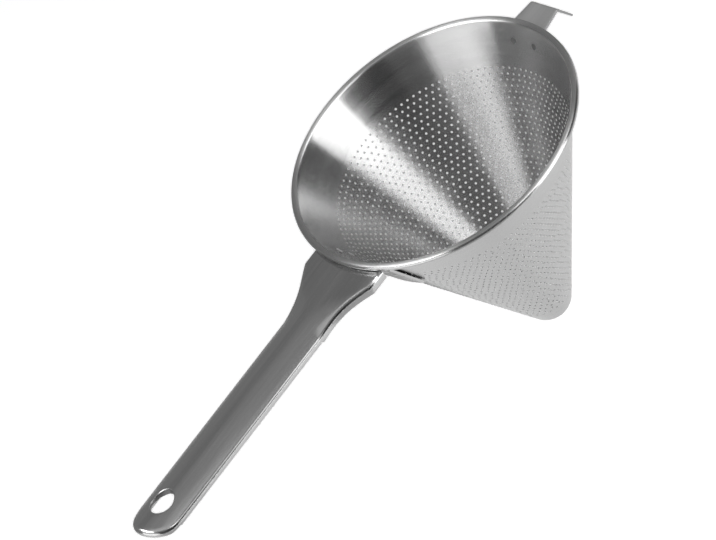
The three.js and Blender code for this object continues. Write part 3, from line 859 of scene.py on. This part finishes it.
# The faces at both sides of the strip, its cut edges, are coloured darker than its top and bottom
hook_face = add_node(hook_tree, "NewGeometry", (-1000, 500))
hook_facing = add_node(hook_tree, "SeparateXYZ", (-800, 500))
hook_sideways = add_node(hook_tree, "Math", (-650, 500), operation="ABSOLUTE")
hook_edges = add_node(hook_tree, "MapRange", (-500, 500))
hook_edges.inputs["From Min"].default_value = 0.6
hook_edges.inputs["From Max"].default_value = 0.9
hook_edges.inputs["To Min"].default_value = hook_tone
hook_edges.inputs["To Max"].default_value = hook_edge_tone
hook_tree.links.new(hook_face.outputs["True Normal"], hook_facing.inputs["Vector"])
hook_tree.links.new(hook_facing.outputs["Y"], hook_sideways.inputs[0])
hook_tree.links.new(hook_sideways.outputs[0], hook_edges.inputs["Value"])
hook_tree.links.new(hook_edges.outputs["Result"], hook_strokes.inputs["Steel"])
hook.data.materials.append(hook_steel)
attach(hook, "root")
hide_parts("rest_hook")


# The spot welds: small round places where the sheets were pressed together and fused. Each shows on the
# inside of the cone and on the outside of the hook or the saddle as a shallow dish with a raised edge.
weld_radius = 2 * mm
weld_proud = 0.08 * mm
weld_edge = 0.5 * mm
weld_slope = 0.4 * mm
weld_dish = 0.05 * mm
weld_sides = 24
hook_weld_tone = 0.2
saddle_weld_tone = 0.5
weld_steel, weld_strokes = steel_material(
    "weld_steel", steel=saddle_weld_tone, contrast=0.6, least_rough=0.4, most_rough=0.6,
    bump_depth=0.01 * mm)
weld_tree = weld_steel.node_tree
weld_place = add_node(weld_tree, "TexCoord", (-1000, 200))
weld_vector = add_node(weld_tree, "Mapping", (-800, 200))
weld_vector.inputs["Scale"].default_value = (1500, 1500, 1500)
weld_tree.links.new(weld_place.outputs["Object"], weld_vector.inputs["Vector"])
weld_tree.links.new(weld_vector.outputs["Vector"], weld_strokes.inputs["Vector"])
# The hook's welds are burnt darker than the saddle's
weld_side = add_node(weld_tree, "SeparateXYZ", (-800, 500))
weld_tone = add_node(weld_tree, "MapRange", (-650, 500))
weld_tone.inputs["From Min"].default_value = -mm
weld_tone.inputs["From Max"].default_value = mm
weld_tone.inputs["To Min"].default_value = hook_weld_tone
weld_tone.inputs["To Max"].default_value = saddle_weld_tone
weld_tree.links.new(weld_place.outputs["Object"], weld_side.inputs[0])
weld_tree.links.new(weld_side.outputs["X"], weld_tone.inputs["Value"])
weld_tree.links.new(weld_tone.outputs["Result"], weld_strokes.inputs["Steel"])
for weld_node in sorted(name for name in frame["nodes"] if "weld" in name):
    low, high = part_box(weld_node)
    middle = (low + high) / 2
    azimuth = math.atan2(middle.y, middle.x)
    level = math.cos(cone_angle)
    outward = Vector((level * math.cos(azimuth), level * math.sin(azimuth), -math.sin(cone_angle)))
    outer_sheet = hook_sheet if weld_node.startswith("hook") else handle_sheet
    length = cone_sheet + seat_gap + outer_sheet + 2 * weld_proud
    weld = start_piece("spot_" + weld_node)
    bpy.ops.mesh.primitive_cylinder_add(
        vertices=weld_sides, radius=weld_radius, depth=length, end_fill_type="NGON")
    bpy.ops.mesh.select_all(action="DESELECT")
    bpy.ops.mesh.select_mode(type="FACE")
    skin = bmesh.from_edit_mesh(weld.data)
    for face in skin.faces:
        face.select_set(abs(face.normal.z) > 0.9)
    bmesh.update_edit_mesh(weld.data)
    bpy.ops.mesh.inset(thickness=weld_edge, depth=0, use_individual=True)
    bpy.ops.mesh.inset(thickness=weld_slope, depth=-weld_dish, use_individual=True)
    bpy.ops.mesh.inset(thickness=weld_edge, depth=-weld_dish / 5, use_individual=True)
    bpy.ops.mesh.select_all(action="SELECT")
    turn = Vector((0, 0, 1)).rotation_difference(outward)
    move_selected(weld, lambda point: middle + turn @ point)
    bpy.ops.object.mode_set(mode="OBJECT")
    bpy.ops.object.shade_smooth_by_angle(angle=smooth_angle)
    weld.data.materials.append(weld_steel)
    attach(weld, "root")
    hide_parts(weld_node)


# The studio: a pale floor far below the strainer, a white surround, one tall soft lamp that draws the
# bright band inside the cone, and panels and cards round the object that only its reflections show.
floor_height = -450 * mm
floor_size = 60
panel_distance = 1.6
bpy.ops.object.select_all(action="DESELECT")
bpy.ops.mesh.primitive_plane_add(size=floor_size, location=(0, 0, floor_height))
floor = bpy.context.object
floor.name = "pale_floor"


def bright_rays(tree, place):
    """Value that is 1 for rays from the camera, from gloss and through glass, which see the white."""
    path = add_node(tree, "LightPath", place)
    first = add_node(tree, "Math", (place[0] + 200, place[1]), operation="MAXIMUM")
    second = add_node(tree, "Math", (place[0] + 400, place[1]), operation="MAXIMUM")
    tree.links.new(path.outputs["Is Camera Ray"], first.inputs[0])
    tree.links.new(path.outputs["Is Glossy Ray"], first.inputs[1])
    tree.links.new(first.outputs[0], second.inputs[0])
    tree.links.new(path.outputs["Is Transmission Ray"], second.inputs[1])
    return second.outputs[0]


floor_paint = bpy.data.materials.new("pale_floor_paint")
floor_paint.use_nodes = True
floor_tree = floor_paint.node_tree
floor_tree.nodes.clear()
floor_output = add_node(floor_tree, "OutputMaterial", (800, 0))
floor_diffuse = add_node(floor_tree, "BsdfDiffuse", (0, 200))
floor_diffuse.inputs["Color"].default_value = (0.85, 0.85, 0.85, 1)
floor_glow = add_node(floor_tree, "Emission", (0, 0))
floor_glow.inputs["Color"].default_value = (1, 1, 1, 1)
floor_both = add_node(floor_tree, "AddShader", (250, 100))
floor_clear = add_node(floor_tree, "BsdfTransparent", (250, -100))
floor_sides = add_node(floor_tree, "MixShader", (550, 0))
floor_face = add_node(floor_tree, "NewGeometry", (250, 350))
floor_glow_level = add_node(floor_tree, "Math", (-200, 0), operation="MULTIPLY")
floor_glow_level.inputs[1].default_value = 0.34
floor_tree.links.new(bright_rays(floor_tree, (-900, 0)), floor_glow_level.inputs[0])
floor_tree.links.new(floor_glow_level.outputs[0], floor_glow.inputs["Strength"])
floor_tree.links.new(floor_diffuse.outputs[0], floor_both.inputs[0])
floor_tree.links.new(floor_glow.outputs[0], floor_both.inputs[1])
floor_tree.links.new(floor_face.outputs["Backfacing"], floor_sides.inputs["Fac"])
floor_tree.links.new(floor_both.outputs[0], floor_sides.inputs[1])
floor_tree.links.new(floor_clear.outputs[0], floor_sides.inputs[2])
floor_tree.links.new(floor_sides.outputs[0], floor_output.inputs["Surface"])
floor.data.materials.append(floor_paint)

# The white surround
surround = bpy.data.worlds.new("white_surround")
bpy.context.scene.world = surround
surround.use_nodes = True
surround_tree = surround.node_tree
surround_light = surround_tree.nodes["Background"]
surround_light.inputs["Color"].default_value = (1, 1, 1, 1)
surround_level = add_node(surround_tree, "MapRange", (-200, 0))
surround_level.inputs["To Min"].default_value = 0.15
surround_level.inputs["To Max"].default_value = 1.0
surround_tree.links.new(bright_rays(surround_tree, (-900, 0)), surround_level.inputs["Value"])
surround_tree.links.new(surround_level.outputs["Result"], surround_light.inputs["Strength"])


def show_in_gloss_only(panel, level):
    """Makes a panel glow with an even grey that only reflections show."""
    grey = bpy.data.materials.new(panel.name + "_grey")
    grey.use_nodes = True
    tree = grey.node_tree
    tree.nodes.clear()
    output = add_node(tree, "OutputMaterial", (300, 0))
    glow = add_node(tree, "Emission", (0, 0))
    glow.inputs["Color"].default_value = (1, 1, 1, 1)
    glow.inputs["Strength"].default_value = level
    tree.links.new(glow.outputs[0], output.inputs["Surface"])
    panel.data.materials.append(grey)
    for ray_kind in ("camera", "diffuse", "shadow", "transmission", "volume_scatter"):
        setattr(panel, "visible_" + ray_kind, False)


def studio_panel(name, low_azimuth, high_azimuth, low_rise, high_rise, level):
    """A panel that stands round the object, between two azimuths and two rises in degrees."""
    panel = start_piece(name)
    bpy.ops.mesh.primitive_grid_add(x_subdivisions=24, y_subdivisions=8, size=2)

    def place(point):
        azimuth = math.radians(low_azimuth + (high_azimuth - low_azimuth) * (point.x + 1) / 2)
        rise = math.radians(low_rise + (high_rise - low_rise) * (point.y + 1) / 2)
        reach = panel_distance * math.cos(rise)
        height = panel_distance * math.sin(rise)
        return Vector((reach * math.cos(azimuth), reach * math.sin(azimuth), height))

    move_selected(panel, place)
    bpy.ops.object.mode_set(mode="OBJECT")
    show_in_gloss_only(panel, level)


def floor_card(name, low_x, high_x, low_y, high_y, lift, level):
    """A card that lies over the floor, between two sides and two ends in metres."""
    card = start_piece(name)
    bpy.ops.mesh.primitive_grid_add(x_subdivisions=2, y_subdivisions=2, size=2)

    def place(point):
        x = low_x + (high_x - low_x) * (point.x + 1) / 2
        y = low_y + (high_y - low_y) * (point.y + 1) / 2
        return Vector((x, y, floor_height + lift))

    move_selected(card, place)
    bpy.ops.object.mode_set(mode="OBJECT")
    show_in_gloss_only(card, level)


def standing_card(name, one_end, other_end, low, high, level):
    """A small card that stands upright near the object, between two ends and two heights."""
    card = start_piece(name)
    bpy.ops.mesh.primitive_grid_add(x_subdivisions=2, y_subdivisions=2, size=2)

    def place(point):
        foot = Vector(one_end).lerp(Vector(other_end), (point.x + 1) / 2)
        return Vector((foot.x, foot.y, low + (high - low) * (point.y + 1) / 2))

    move_selected(card, place)
    bpy.ops.object.mode_set(mode="OBJECT")
    show_in_gloss_only(card, level)


studio_panel("front_flag", 58, 96, -14, 28, 0.03)
studio_panel("front_right_flag", 33, 58, -14, 28, 0.07)
studio_panel("front_left_flag", 96, 102, 2, 20, 0.03)
studio_panel("front_upper_flag", 24, 90, 28, 42, 0.1)
studio_panel("front_top_flag", 20, 83, 42, 63, 0.25)
studio_panel("left_flag", 137, 178, -14, 42, 0.07)
studio_panel("left_upper_light", 83, 178, 43, 59, 3.3)
studio_panel("left_dark_edge", 83, 178, 59, 63, 0.08)
studio_panel("far_left_flag", 178, 197, -14, 62, 0.4)
studio_panel("back_flag", 197, 338, -14, 30, 0.24)
studio_panel("back_left_flag", 197, 246, 30, 54, 0.34)
studio_panel("back_middle_flag", 246, 308, 30, 54, 0.2)
studio_panel("back_upper_flag", 197, 308, 54, 63, 0.25)
studio_panel("ceiling_back_flag", 112, 300, 63, 90, 0.28)
studio_panel("ceiling_front_flag", -60, 112, 63, 90, 0.62)
studio_panel("side_lower_light", 338, 388, -8, 14, 1.75)
studio_panel("side_middle_flag", 338, 393, 14, 40, 0.6)
studio_panel("side_upper_light", 308, 380, 40, 62, 5.0)
standing_card("grip_flag", (0.06, 0.1), (0.24, 0.1), 0.07, 0.15, 0.26)
floor_card("grey_floor_card", -1.5, 1.5, -1.5, 1.5, 5 * mm, 0.88)
floor_card("grip_floor_card", -0.4, 0.1, 0.35, 1.2, 10 * mm, 1.0)
floor_card("front_floor_card", 0.1, 1.2, 0.2, 1.2, 10 * mm, 0.54)
floor_card("back_floor_card", -1.2, 0.6, -0.8, -0.3, 10 * mm, 0.33)
floor_card("far_floor_card", -1.4, 1.4, -1.5, -0.8, 10 * mm, 0.25)

# The tall soft lamp looks level at the strainer's axis
lamp_azimuth = math.radians(120)
lamp_distance = 1.2
lamp_height = 0.55
lamp_data = bpy.data.lights.new("tall_soft_lamp", "AREA")
lamp_data.shape = "RECTANGLE"
lamp_data.size = 0.757
lamp_data.size_y = 1.7
lamp_data.energy = 6.6
lamp = bpy.data.objects.new("tall_soft_lamp", lamp_data)
bpy.context.scene.collection.objects.link(lamp)
lamp.location = (
    lamp_distance * math.cos(lamp_azimuth), lamp_distance * math.sin(lamp_azimuth), lamp_height)
lamp.rotation_mode = "QUATERNION"
lamp.rotation_quaternion = (-Vector(lamp.location) * Vector((1, 1, 0))).to_track_quat("-Z", "Y")
lamp.visible_camera = False

# The camera: a long lens from the photograph's side, tilted so that the cone leans to the left
camera_data = bpy.data.cameras.new("camera")
camera_data.lens = 269.8
camera_data.sensor_width = 36
camera_data.clip_end = 100
camera = bpy.data.objects.new("camera", camera_data)
bpy.context.scene.collection.objects.link(camera)
camera_place = Vector((0.94147, 2.09975, 1.92475))
camera_aim = Vector((0.07891, -0.01119, -0.02639))
camera_roll = math.radians(-37.483)
camera.location = camera_place
camera.rotation_mode = "QUATERNION"
camera_look = (camera_aim - camera_place).to_track_quat("-Z", "Y")
camera.rotation_quaternion = camera_look @ Quaternion((0, 0, 1), camera_roll)
bpy.context.scene.camera = camera
bpy.context.scene.view_settings.view_transform = "Standard"

# A small lamp beside the lens lights the floor, so that the strainer's shadow lies straight behind it
lens_lamp_data = bpy.data.lights.new("lens_lamp", "POINT")
lens_lamp_data.energy = 640
lens_lamp_data.shadow_soft_size = 10 * mm
lens_lamp = bpy.data.objects.new("lens_lamp", lens_lamp_data)
bpy.context.scene.collection.objects.link(lens_lamp)
lens_lamp.location = camera_place
lens_lamp.visible_glossy = False
